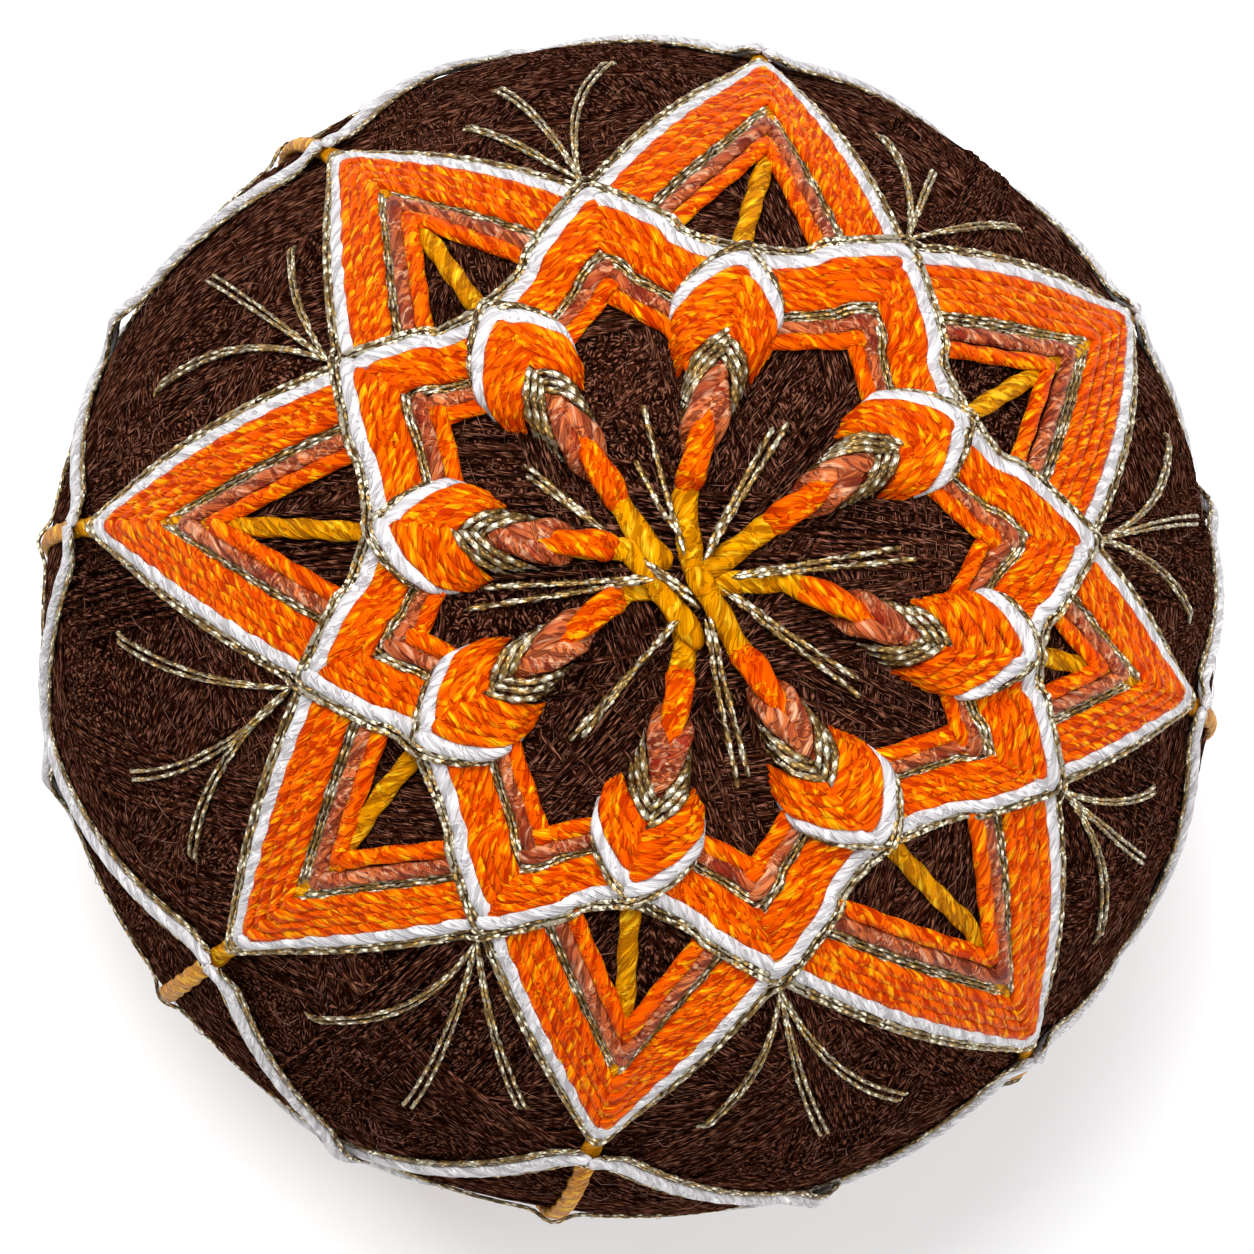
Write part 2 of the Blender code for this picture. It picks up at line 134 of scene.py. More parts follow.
# Centre stitches between necks: azimuth and polar angle of the root, then of the end, for each
# strand of the pair.
CENTRE_STITCHES = (
    ((141, 2.6, 108.5, 16.9), (128, 4.2, 120.0, 12.3)),
    ((256, 3.0, 147.0, 19.2), (232, 2.2, 149.5, 18.6)),
    ((184, 5.0, 182.5, 20.3), (186, 4.6, 187.6, 21.9)),
    ((238, 4.6, 230.8, 19.2), (234, 4.9, 233.2, 18.2)),
    ((266, 3.8, 280.4, 19.5), (272, 3.6, 283.8, 18.8)),
    ((313, 1.8, 324.2, 18.4), (322, 2.6, 328.0, 17.2)),
    ((352, 2.0, 6.2, 20.6), (0, 2.4, 9.6, 19.0)),
    ((111, 1.2, 60.8, 16.9), (92, 2.2, 64.6, 15.6)),
)
# Yellow threads at the top of each pole: where each spoke's thread ends, as azimuth and polar
# angle, and how high it lies.
POLE_ENDS = (
    (165, 1.2, 0.62), (165, 3.6, 0.74), (266, 6.2, 1.08), (192, 4.2, 0.46),
    (240, 3.6, 0.52), (150, 1.5, 1.00), (250, 0.8, 0.56), (200, 0.8, 0.70),
)

random = np.random.RandomState(SEED)


def smooth(x, low, high):
    """0 at low and 1 at high, which may be the smaller of the two."""
    t = np.clip((x - low) / (high - low), 0.0, 1.0)
    return t * t * (3 - 2 * t)


def mix(a, b, t):
    return a + (b - a) * t


def unit(v):
    return v / np.maximum(np.linalg.norm(v, axis=-1, keepdims=True), 1e-12)


class Hemisphere:
    """The spokes of one chrysanthemum. side is 1 on top and -1 below."""

    def __init__(self, side):
        self.side = side
        self.name = "top" if side > 0 else "bottom"

    def outward(self, azimuth, polar):
        a, p = np.asarray(azimuth) * DEGREE, np.asarray(polar) * DEGREE
        a, p = np.broadcast_arrays(a, p)
        return np.stack([np.sin(p) * np.cos(a), np.sin(p) * np.sin(a), self.side * np.cos(p)], -1)

    def like(self, k):
        """The spoke of the measured star whose sizes spoke k has."""
        return (k if self.side > 0 else k + LOWER_SHIFT) % SPOKE_COUNT

    def turned(self, k):
        return SPOKES[k % SPOKE_COUNT][0] - SPOKES[self.like(k)][0]

    def sizes(self, k):
        own = SPOKES[k % SPOKE_COUNT]
        if self.side > 0:
            return own
        other = SPOKES[self.like(k)]
        turn = self.turned(k)
        return (own[0], other[1], other[2], other[3] + turn, other[4], other[5] + turn, other[6])

    def spoke_azimuth(self, k, polar):
        tip_azimuth, _, _, head_azimuth, _, neck_azimuth, _ = self.sizes(k)
        outer = np.interp(polar, (NECK_POLAR, HEAD_POLAR, TIP_POLAR),
                          (neck_azimuth, head_azimuth, tip_azimuth))
        aim = NECK_AIMS[self.like(k)]
        inside = np.clip(polar, abs(aim) * 1.15, NECK_POLAR)
        return outer + (np.arcsin(aim / inside) - math.asin(aim / NECK_POLAR)) / DEGREE

    def tip_polar(self, k, share):
        _, white_tip, inner_tip, *_ = self.sizes(k)
        drawn = EDGE_DRAWN_IN * smooth(share, 0.74, 0.85)
        return mix(inner_tip, white_tip, share / WHITE_SHARE) - drawn

    def apex_polar(self, k, share):
        *_, head_top, _, neck_top = self.sizes(k)
        places = [neck_top + d for d in APEX_PAST_NECK] + [head_top + d for d in APEX_PAST_HEAD]
        return float(np.interp(share, APEX_SHARES, places))


class Leg:
    """The rows from the tip on one spoke to the head on the next. turn is 1 or -1."""

    def __init__(self, hemisphere, tip_spoke, turn):
        self.of = hemisphere
        self.tip = tip_spoke
        self.head = tip_spoke + turn
        self.turn = turn

    def ends(self, share):
        tip_polar = self.of.tip_polar(self.tip, share)
        apex_polar = self.of.apex_polar(self.head, share)
        tip_azimuth = float(self.of.spoke_azimuth(self.tip, tip_polar))
        apex_azimuth = float(self.of.spoke_azimuth(self.head, apex_polar))
        span = (apex_azimuth - tip_azimuth) * self.turn % 360
        return tip_azimuth, tip_polar, tip_azimuth + self.turn * span, apex_polar + bend(share)

    def place(self, share, along):
        tip_azimuth, tip_polar, met_azimuth, met_polar = self.ends(share)
        span = abs(met_azimuth - tip_azimuth) * DEGREE
        tip_part = np.sin(span * (1 - along)) / math.tan(tip_polar * DEGREE)
        met_part = np.sin(span * along) / math.tan(met_polar * DEGREE)
        polar = np.arctan2(math.sin(span), tip_part + met_part) / DEGREE
        bent = bend(share) * np.clip((along - BEND_START) / (1 - BEND_START), 0, 1) ** 2
        return mix(tip_azimuth, met_azimuth, along), polar - bent

    def arm(self, share, t):
        apex = self.of.apex_polar(self.head, share)
        polar = apex - np.interp(share, ARM_SHARES, ARM_DROPS) * (0.75 * t + 0.25 * t * t)
        width = np.interp(share, ARM_SHARES, ARM_WIDTHS) * np.sin(math.pi / 2 * t)
        around = width / (MM_PER_DEGREE * np.sin(polar * DEGREE))
        return self.of.spoke_azimuth(self.head, polar) + self.turn * around, polar

    def polar_at(self, share, azimuth):
        """The polar angle of the row where it passes this azimuth."""
        tip_azimuth, _, met_azimuth, _ = self.ends(share)
        turned = (azimuth - tip_azimuth) * self.turn
        along = (turned + 180) % 360 - 180
        return self.place(share, along / abs(met_azimuth - tip_azimuth))[1]

    def crossing(self, share):
        """How far along the row crosses its like of the leg between the same two spokes."""
        other = Leg(self.of, self.head, -self.turn)
        along = np.linspace(0.15, 0.85, 401)
        azimuth, polar = self.place(share, along)
        return float(along[np.argmax(polar < other.polar_at(share, azimuth))])


def bend(share):
    return BEND_DEGREES * (1 - share) ** BEND_POWER


def off_spoke(hemisphere, k, azimuth, polar):
    """Distance in mm from spoke k's line."""
    apart = (azimuth - hemisphere.spoke_azimuth(k, polar) + 180) % 360 - 180
    return np.abs(apart) * np.sin(polar * DEGREE) * MM_PER_DEGREE


def row_path(leg, share, half_thickness, stand, lift):
    """Directions and heights of one row from its tip to the end of its arm, and what shows."""
    of = leg.of
    _, tip_polar, *_ = leg.ends(share)
    stub = (0.15 if leg.turn > 0 else 0.45) / (45 * math.sin(tip_polar * DEGREE) * MM_PER_DEGREE)
    along = np.concatenate([np.linspace(-stub, 1, 260), 1 + np.linspace(0, 1, 61)[1:]])
    on_leg = along <= 1
    azimuth, polar = leg.place(share, np.minimum(along, 1))
    arm_azimuth, arm_polar = leg.arm(share, np.clip(along - 1, 0, 1))
    azimuth = np.where(on_leg, azimuth, arm_azimuth)
    polar = np.where(on_leg, polar, arm_polar)
    outward = of.outward(azimuth, polar)
    run = np.concatenate([[0], np.cumsum(np.linalg.norm(np.diff(outward, axis=0), axis=1))])
    run *= BALL_RADIUS
    crossed = np.interp(leg.crossing(share), along, run)
    spoke = np.interp(1.0, along, run)
    early = 0.8 if leg.turn > 0 else 0.0

    height = np.full(len(run), half_thickness + lift)
    d_tip = off_spoke(of, leg.tip, azimuth, polar)
    height += OVER_DIVISION * np.exp(-(d_tip / 1.0) ** 2) * (run < crossed)
    other = Leg(of, leg.head, -leg.turn)
    inside = (polar - other.polar_at(0.0, azimuth)) * MM_PER_DEGREE
    over = smooth(inside, -0.4, 0.5) * smooth(run - crossed + early, -0.1, 0.8) * (run < spoke)
    height += LAYER * over
    d_head = off_spoke(of, leg.head, azimuth, polar)
    near = smooth(run, mix(crossed, spoke, 0.45), spoke)
    height += stand * np.exp(-(d_head / HEAD_REACH) ** 2) * near
    height += 0.42 * smooth(run - spoke + early, -0.1, 0.8)
    window = np.hanning(13)
    height = np.convolve(np.pad(height, 6, mode="edge"), window / window.sum(), mode="valid")
    end = run[-1]
    height = mix(-0.35, height, smooth(run, 0.0, 0.7) * smooth(end - run, -0.1, 1.5))
    if leg.turn < 0:
        height -= 0.22 * np.exp(-(d_tip / 0.9) ** 2) * (run < crossed)

    outer = (other.polar_at(1.0, azimuth) - polar) * MM_PER_DEGREE
    hidden = (outer > 0.9) & (run < crossed - 1.3)
    widened = smooth(d_head, 5.0, 2.0) * near
    drawn_out = mix(0.30, 1.0, smooth(end - run, 0.0, 1.5))
    return outward, height, run, ~hidden, widened, drawn_out


class Threads:
    """Tubes of twisted thread, gathered into one mesh."""

    def __init__(self, sides):
        self.sides = sides
        self.points, self.quads, self.caps = [], [], []
        self.uvs, self.tones = [], []
        self.count = 0

    def add(self, path, normals, half_width, half_thickness, pitch, pinch=0.3, tone=None, step=STEP):
        """One thread along a path of points in mm about the ball's centre."""
        length = np.concatenate([[0], np.cumsum(np.linalg.norm(np.diff(path, axis=0), axis=1))])
        steps = max(3, int(length[-1] / step))
        at = np.linspace(0, length[-1], steps + 1)
        path = np.stack([np.interp(at, length, path[:, i]) for i in range(3)], -1)
        normals = unit(np.stack([np.interp(at, length, normals[:, i]) for i in range(3)], -1))
        tangent = unit(np.gradient(path, axis=0))
        across = unit(np.cross(normals, tangent))
        up = np.cross(tangent, across)
        if tone is None:
            tone = np.zeros(len(at))
        else:
            tone = np.interp(at, np.linspace(0, length[-1], len(tone)), tone)
        half_width = np.interp(at, np.linspace(0, length[-1], np.size(half_width)),
                               np.atleast_1d(half_width))
        n = self.sides
        angle = np.arange(n) * 2 * math.pi / n
        phase = random.rand()
        twist = 2 * math.pi * (at / pitch + phase)
        lobe = 1 - pinch * (1 - np.cos(2 * (angle[None, :] - twist[:, None]))) / 2
        taper = np.minimum(1, np.minimum(at, at[-1] - at) / (half_width * 0.8) + 0.25)[:, None]
        wide = half_width[:, None] * taper
        thick = half_thickness * taper
        ring = path[:, None, :] + across[:, None, :] * (wide * lobe * np.cos(angle))[..., None]
        ring = ring + up[:, None, :] * (thick * lobe * np.sin(angle))[..., None]
        self.points.append(ring.reshape(-1, 3))
        self.tones.append(np.repeat(tone, n))
        i, j = np.meshgrid(np.arange(len(at) - 1), np.arange(n), indexing="ij")
        k = (j + 1) % n
        base = self.count
        quad = np.stack([i * n + j, i * n + k, (i + 1) * n + k, (i + 1) * n + j], -1)
        self.quads.append(base + quad.reshape(-1, 4))
        u = at / pitch + phase
        low, high = u[i], u[i + 1]
        left, right = j / n, (j + 1) / n
        uv = np.stack([low, left, low, right, high, right, high, left], -1)
        self.uvs.append(uv.reshape(-1, 2))
        last = base + (len(at) - 1) * n
        self.caps.append(base + np.arange(n)[::-1])
        self.caps.append(last + np.arange(n))
        self.count += len(at) * n

    def build(self, name, slot, material, replaced=()):
        points = np.concatenate(self.points) * MM
        points[:, 2] = np.maximum(points[:, 2] + CENTRE_HEIGHT * MM, 0.0)
        quads = np.concatenate(self.quads)
        caps = np.array(self.caps)
        loops = np.concatenate([quads.ravel(), caps.ravel()])
        starts = np.concatenate([np.arange(len(quads)) * 4,
                                 len(quads) * 4 + np.arange(len(caps)) * self.sides])
        totals = np.concatenate([np.full(len(quads), 4), np.full(len(caps), self.sides)])
        mesh = bpy.data.meshes.new(name)
        mesh.vertices.add(len(points))
        mesh.vertices.foreach_set("co", points.ravel())
        mesh.loops.add(len(loops))
        mesh.loops.foreach_set("vertex_index", loops.astype(np.int32))
        mesh.polygons.add(len(starts))
        mesh.polygons.foreach_set("loop_start", starts.astype(np.int32))
        mesh.polygons.foreach_set("loop_total", totals.astype(np.int32))
        mesh.update(calc_edges=True)
        uv = mesh.uv_layers.new(name="thread")
        corners = np.concatenate([np.concatenate(self.uvs), np.zeros((caps.size, 2))])
        uv.data.foreach_set("uv", corners.ravel())
        tone = mesh.attributes.new("tone", "FLOAT", "POINT")
        tone.data.foreach_set("value", np.concatenate(self.tones))
        mesh.polygons.foreach_set("use_smooth", np.ones(len(starts), bool))
        mesh.materials.append(material)
        piece = bpy.data.objects.new(name, mesh)
        bpy.context.scene.collection.objects.link(piece)
        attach(piece, "root")
        if replaced:
            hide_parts(*replaced)
        return piece


def wandering(length, wavelength, amount=1.0):
    """A tone that drifts along a thread, from about -amount to amount."""
    x = np.linspace(0, length, max(8, int(length / 0.8)))
    total = np.zeros(len(x))
    for scale, share in ((1.0, 0.6), (0.45, 0.4), (0.2, 0.25)):
        total += share * np.sin(2 * math.pi * (x / (wavelength * scale) + random.rand()))
    return total * amount


def runs(mask):
    """(start, stop) of each stretch of True."""
    edges = np.flatnonzero(np.diff(np.concatenate([[0], mask.astype(int), [0]])))
    return edges.reshape(-1, 2)


def node(tree, kind, inputs=None, **settings):
    made = tree.nodes.new(kind)
    for name, value in settings.items():
        setattr(made, name, value)
    for name, value in (inputs or {}).items():
        socket = made.inputs[name]
        if isinstance(value, bpy.types.NodeSocket):
            tree.links.new(value, socket)
        else:
            socket.default_value = value
    return made


def math_node(tree, operation, a, b=0.0, c=0.0, clamp=False):
    return node(tree, "ShaderNodeMath", {0: a, 1: b, 2: c}, operation=operation,
                use_clamp=clamp).outputs[0]


def blend_colour(tree, a, b, factor, mode="MIX"):
    made = node(tree, "ShaderNodeMix", {"Factor": factor}, data_type="RGBA", blend_type=mode)
    for socket, value in ((made.inputs[6], a), (made.inputs[7], b)):
        if isinstance(value, bpy.types.NodeSocket):
            tree.links.new(value, socket)
        else:
            socket.default_value = (*value, 1.0)
    return made.outputs[2]


def ramp_node(tree, value, stops):
    made = node(tree, "ShaderNodeValToRGB", {"Fac": value})
    ramp = made.color_ramp
    while len(ramp.elements) > 1:
        ramp.elements.remove(ramp.elements[0])
    for i, (place, shade) in enumerate(stops):
        element = ramp.elements[0] if i == 0 else ramp.elements.new(place)
        element.position = place
        element.color = (shade, shade, shade, 1.0)
    return made.outputs["Color"]


def new_material(name):
    made = bpy.data.materials.new(name)
    made.use_nodes = True
    tree = made.node_tree
    return made, tree, tree.nodes["Principled BSDF"]


def twist_coordinates(tree):
    """Along a thread in turns, round it, and round it as counted from one ply."""
    uv = node(tree, "ShaderNodeUVMap", uv_map="thread")
    parts = node(tree, "ShaderNodeSeparateXYZ", {0: uv.outputs[0]})
    turns, round_it = parts.outputs[0], parts.outputs[1]
    return turns, round_it, math_node(tree, "SUBTRACT", round_it, turns)


def streaks(tree, helix, turns, tone, across, along, low, high, detail=0.0):
    """Streaks that run along the plies: how many round a thread, how many to a turn of it."""
    place = node(tree, "ShaderNodeCombineXYZ", {
        0: math_node(tree, "MULTIPLY", helix, across),
        1: math_node(tree, "MULTIPLY", turns, along),
        2: math_node(tree, "MULTIPLY", tone, 3.0)})
    noise = node(tree, "ShaderNodeTexNoise", {"Vector": place.outputs[0], "Scale": 1.0,
                 "Detail": detail, "Roughness": 0.5}).outputs["Fac"]
    return ramp_node(tree, noise, ((low, 0.0), (high, 1.0)))


def cotton(name, shadow, body, light, warm, gloss=0.3, fleck_highlight=0.85, seam_shade=0.5, depth=0.00007):
    """Twisted pearl cotton: painted shade along the seam between two plies, in hollows and between
    fibres, painted highlights in short streaks, and uneven dye.
    """
    made, tree, shader = new_material(name)
    turns, _, helix = twist_coordinates(tree)
    angle = math_node(tree, "MULTIPLY", helix, 4 * math.pi)
    crest = math_node(tree, "MULTIPLY_ADD", math_node(tree, "COSINE", angle), 0.5, 0.5)
    tone = node(tree, "ShaderNodeAttribute", attribute_name="tone").outputs["Fac"]
    dyed = math_node(tree, "MULTIPLY_ADD", tone, 0.40, 0.5, clamp=True)
    patch = streaks(tree, helix, turns, tone, 3.5, 1.8, 0.36, 0.62)
    share = math_node(tree, "MULTIPLY_ADD", patch, 0.5, math_node(tree, "MULTIPLY", dyed, 0.5))
    base = blend_colour(tree, warm, body, share)
    # painted highlights: short light streaks along the plies, in the light colour
    highlight_fleck = streaks(tree, helix, turns, tone, 7.0, 2.6, 0.54, 0.70, detail=1.0)
    # painted shade between the fibres, in the shadow colour; also part of the bump's relief
    fibre_shading = streaks(tree, helix, turns, tone, 28.0, 5.0, 0.32, 0.68)
    # painted shade in the hollows between fibres, in the shadow colour; also part of the bump's relief
    hollow_shade = streaks(tree, helix, turns, patch, 8.0, 2.8, 0.34, 0.48)
    base = blend_colour(tree, shadow, base, math_node(tree, "MAXIMUM", hollow_shade, 0.25))
    # painted shade along the seam between the two plies, in the shadow colour
    seam = ramp_node(tree, crest, ((0.0, 0.0), (0.22, 1.0)))
    base = blend_colour(tree, shadow, base, math_node(tree, "MAXIMUM", seam, 1.0 - seam_shade))
    base = blend_colour(tree, base, light, math_node(tree, "MULTIPLY", highlight_fleck, fleck_highlight))
    base = blend_colour(tree, shadow, base, math_node(tree, "MAXIMUM", fibre_shading, 0.65))
    tree.links.new(base, shader.inputs["Base Color"])
    shader.inputs["Roughness"].default_value = 0.45
    shader.inputs["Specular IOR Level"].default_value = gloss
    shader.inputs["Specular Tint"].default_value = (*light, 1.0)
    relief = math_node(tree, "MULTIPLY_ADD", fibre_shading, 0.7, hollow_shade)
    bump = node(tree, "ShaderNodeBump", {"Height": relief, "Strength": 0.8, "Distance": depth})
    tree.links.new(bump.outputs[0], shader.inputs["Normal"])
    return made


def metallic(name, dark, body, glint):
    """Braided metallic thread: flat foil that turns over and over, its facets painted shaded or lit, with
    painted glints and painted shade between them.
    """
    made, tree, shader = new_material(name)
    turns, round_it, _ = twist_coordinates(tree)
    place = node(tree, "ShaderNodeCombineXYZ", {
        0: math_node(tree, "MULTIPLY", turns, 3.2),
        1: math_node(tree, "MULTIPLY", round_it, 4.0)})
    cells = node(tree, "ShaderNodeTexVoronoi", {"Vector": place.outputs[0], "Scale": 1.0,
                 "Randomness": 1.0}, feature="F1")
    shade = node(tree, "ShaderNodeSeparateXYZ", {0: cells.outputs["Color"]}).outputs[0]
    # painted light on the facets: each cell is shaded toward the dark colour or lit in the body colour
    foil = ramp_node(tree, shade, ((0.15, 0.0), (0.55, 1.0)))
    base = blend_colour(tree, dark, body, foil)
    # painted glints in the glint colour
    glint_mask = ramp_node(tree, shade, ((0.56, 0.0), (0.64, 1.0)))
    base = blend_colour(tree, base, glint, glint_mask)
    # painted shade in the gaps between facets, in the dark colour; also part of the bump's relief
    edge = ramp_node(tree, cells.outputs["Distance"], ((0.30, 1.0), (0.62, 0.0)))
    base = blend_colour(tree, dark, base, math_node(tree, "MAXIMUM", edge, 0.25))
    tree.links.new(base, shader.inputs["Base Color"])
    shader.inputs["Metallic"].default_value = 0.30
    shader.inputs["Roughness"].default_value = 0.30
    shader.inputs["Specular Tint"].default_value = (*glint, 1.0)
    relief = math_node(tree, "ADD", math_node(tree, "MULTIPLY", shade, 1.4), edge)
    bump = node(tree, "ShaderNodeBump", {"Height": relief, "Strength": 0.7, "Distance": 0.00008})
    tree.links.new(bump.outputs[0], shader.inputs["Normal"])
    return made


def wound(name, shadow, body, light):
    """Fine dark sewing thread, its strands dyed a little unevenly, with painted shade between its plies
    and painted highlights along its fibres.
    """
    made, tree, shader = new_material(name)
    turns, _, helix = twist_coordinates(tree)
    tone = node(tree, "ShaderNodeAttribute", attribute_name="tone").outputs["Fac"]
    dyed = math_node(tree, "MULTIPLY_ADD", tone, 0.40, 0.42, clamp=True)
    base = blend_colour(tree, shadow, body, dyed)
    # painted shade in the gaps between plies, in the shadow colour
    ply = streaks(tree, helix, turns, tone, 7.0, 9.0, 0.40, 0.56)
    # painted sheen highlights along the fibres, in the light colour
    fibre_shading = streaks(tree, helix, turns, tone, 14.0, 9.0, 0.54, 0.70, detail=1.0)
    base = blend_colour(tree, shadow, base, math_node(tree, "MAXIMUM", ply, 0.10))
    base = blend_colour(tree, base, light, math_node(tree, "MULTIPLY", fibre_shading, 0.62))
    tree.links.new(base, shader.inputs["Base Color"])
    shader.inputs["Roughness"].default_value = 0.85
    shader.inputs["Specular IOR Level"].default_value = 0.0
    return made


def under_winding(name, shadow, body):
    """The thread that shows between the outermost turns, as fine crossing ridges."""
    made, tree, shader = new_material(name)
    spot = node(tree, "ShaderNodeTexCoord").outputs["Object"]
    heights = []
    for turn in ((0.4, 0.2, 0.0), (1.5, 0.9, 0.4), (0.2, 1.7, 1.1)):
        mapped = node(tree, "ShaderNodeMapping", {
            "Vector": spot, "Rotation": turn, "Scale": (3200.0, 3200.0, 260.0)})
        heights.append(node(tree, "ShaderNodeTexNoise", {
            "Vector": mapped.outputs[0], "Scale": 1.0, "Detail": 2.0}).outputs["Fac"])
    patch = node(tree, "ShaderNodeTexNoise", {"Vector": spot, "Scale": 90.0}).outputs["Fac"]
    pick = ramp_node(tree, patch, ((0.45, 0.0), (0.52, 1.0)))
    ridges = node(tree, "ShaderNodeMix", {0: pick, 2: heights[0], 3: heights[1]}, data_type="FLOAT")
    lit = ramp_node(tree, ridges.outputs[0], ((0.40, 0.0), (0.66, 1.0)))
    base = blend_colour(tree, shadow, body, lit)
    tree.links.new(base, shader.inputs["Base Color"])
    shader.inputs["Roughness"].default_value = 0.85
    shader.inputs["Specular IOR Level"].default_value = 0.0
    relief = math_node(tree, "ADD", ridges.outputs[0], math_node(tree, "MULTIPLY", heights[2], 0.3))
    bump = node(tree, "ShaderNodeBump", {"Height": relief, "Strength": 0.8, "Distance": 0.0001})
    tree.links.new(bump.outputs[0], shader.inputs["Normal"])
    return made


def wound_core(material):
    """The ball under its outermost turns of thread."""
    bpy.ops.mesh.primitive_ico_sphere_add(subdivisions=5, radius=(BALL_RADIUS - CORE_DEPTH) * MM,
                                          location=(0, 0, CENTRE_HEIGHT * MM))
    core = bpy.context.object
    core.name = "wound_core"
    core.data.transform(core.matrix_world)
    core.matrix_world = Matrix.Identity(4)
    core.data.polygons.foreach_set("use_smooth", np.ones(len(core.data.polygons), bool))
    core.data.materials.append(material)
    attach(core, "root")
    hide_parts("wound_ball")


def spread_axis(high, turn):
    """The axis of a bundle's turns, at this height and angle on a unit sphere."""
    flat = math.sqrt(1 - high * high)
    return np.array([flat * math.cos(turn), flat * math.sin(turn), high])


def winding(material):
    """Turns of brown thread in bundles of near-parallel strands, every way round the ball."""
    bundles, strands, spacing, half_width, half_thickness, pitch, step = OUTER_WINDING
    collector = [Threads(3), Threads(3)]
    for b in range(bundles):
        high = (b + 0.5) / bundles
        axis = unit(spread_axis(high, b * GOLDEN_ANGLE) + random.normal(size=3) * 0.06)
        start = unit(np.cross(axis, unit(random.normal(size=3))))
        side = np.cross(axis, start)
        span = random.uniform(2.0, 4.2)
        level = random.uniform(-0.16, 0.12)
        drift = random.uniform(-0.03, 0.03)
        for s in range(strands):
            offset = (s - strands / 2) * spacing + random.uniform(-0.05, 0.05)
            begin = random.uniform(-0.15, 0.15)
            angle = np.linspace(begin, begin + span + random.uniform(-0.2, 0.2), 44)
            wave = 0.10 * np.sin(angle * random.uniform(3, 7) + random.uniform(0, 6))
            tilt = (offset * (1 + drift * 8 * (angle - span / 2)) + wave) / BALL_RADIUS
            outward = unit(np.outer(np.cos(angle), start) + np.outer(np.sin(angle), side)
                           + tilt[:, None] * axis)
            radius = BALL_RADIUS + level + random.uniform(-0.09, 0.07)
            tone = np.full(8, random.uniform(-1, 1))
            collector[b % 2].add(outward * radius, outward, half_width, half_thickness, pitch,
                                 pinch=0.1, tone=tone, step=step)
    for i, threads in enumerate(collector):
        threads.build(f"winding_threads_{i + 1}", "wound_thread", material)


def lower_winding(material):
    """Flat turns of thread right round the ball, under the outermost ones."""
    bundles, strands, spacing, half_width, half_thickness, pitch, step = LOWER_WINDING
    threads = Threads(3)
    angle = np.linspace(0, 2 * math.pi, 60)
    for b in range(bundles):
        high = (b + 0.5) / bundles
        axis = spread_axis(high, 1.3 + b * GOLDEN_ANGLE)
        start = unit(np.cross(axis, unit(random.normal(size=3))))
        side = np.cross(axis, start)
        for s in range(strands):
            tilt = ((s - strands / 2) * spacing + random.uniform(-0.1, 0.1)) / BALL_RADIUS
            outward = unit(np.outer(np.cos(angle), start) + np.outer(np.sin(angle), side) + tilt * axis)
            tone = np.full(8, random.uniform(-1, 0.4))
            threads.add(outward * (BALL_RADIUS - LOWER_LAYER_DEPTH), outward, half_width,
                        half_thickness, pitch, pinch=0.1, tone=tone, step=step)
    threads.build("lower_winding", "wound_thread", material)


def division(material, hemispheres):
    """Yellow division threads from pole to pole, crossing in a low pile at each pole."""
    threads = Threads(9)
    for k in range(SPOKE_COUNT):
        halves = []
        for of in hemispheres:
            polar = np.linspace(7.0, 89.5, 145)
            down = of.outward(of.spoke_azimuth(k, polar), polar)
            end_azimuth, end_polar, level = POLE_ENDS[of.like(k)]
            end_azimuth = end_azimuth + of.turned(k)
            begin = of.outward(end_azimuth, end_polar)
            joined = arc(begin, down[0], 26)[:-1]
            pile = 1 - smooth(np.linspace(0, 1, 25), 0.35, 1.0)
            height = DIVISION_HEIGHT + (level - DIVISION_HEIGHT) * pile
            height = np.concatenate([height, DIVISION_HEIGHT - 0.10 * smooth(polar, 55, 64)])
            height[:4] += (-0.9, -0.5, -0.2, -0.06)
            width = DIVISION_HALF_WIDTH * (1.22 - 0.22 * smooth(np.arange(len(height)), 24, 44))
            width[:4] *= (0.45, 0.70, 0.86, 0.95)
            halves.append((np.concatenate([joined, down]), height, width))
        (top, top_height, top_width), (bottom, bottom_height, bottom_width) = halves
        outward = np.concatenate([top, bottom[::-1]])
        height = np.concatenate([top_height, bottom_height[::-1]])
        width = np.concatenate([top_width, bottom_width[::-1]])
        path = outward * (BALL_RADIUS + height)[:, None]
        length = np.concatenate([[0], np.cumsum(np.linalg.norm(np.diff(path, axis=0), axis=1))])
        width = np.interp(np.linspace(0, length[-1], 400), length, width)
        threads.add(path, outward, width,
                    DIVISION_HALF_THICKNESS, 4.4, pinch=0.16, tone=wandering(100, 12))
    threads.build("division_cotton", "yellow_thread", material, ("division_threads",))


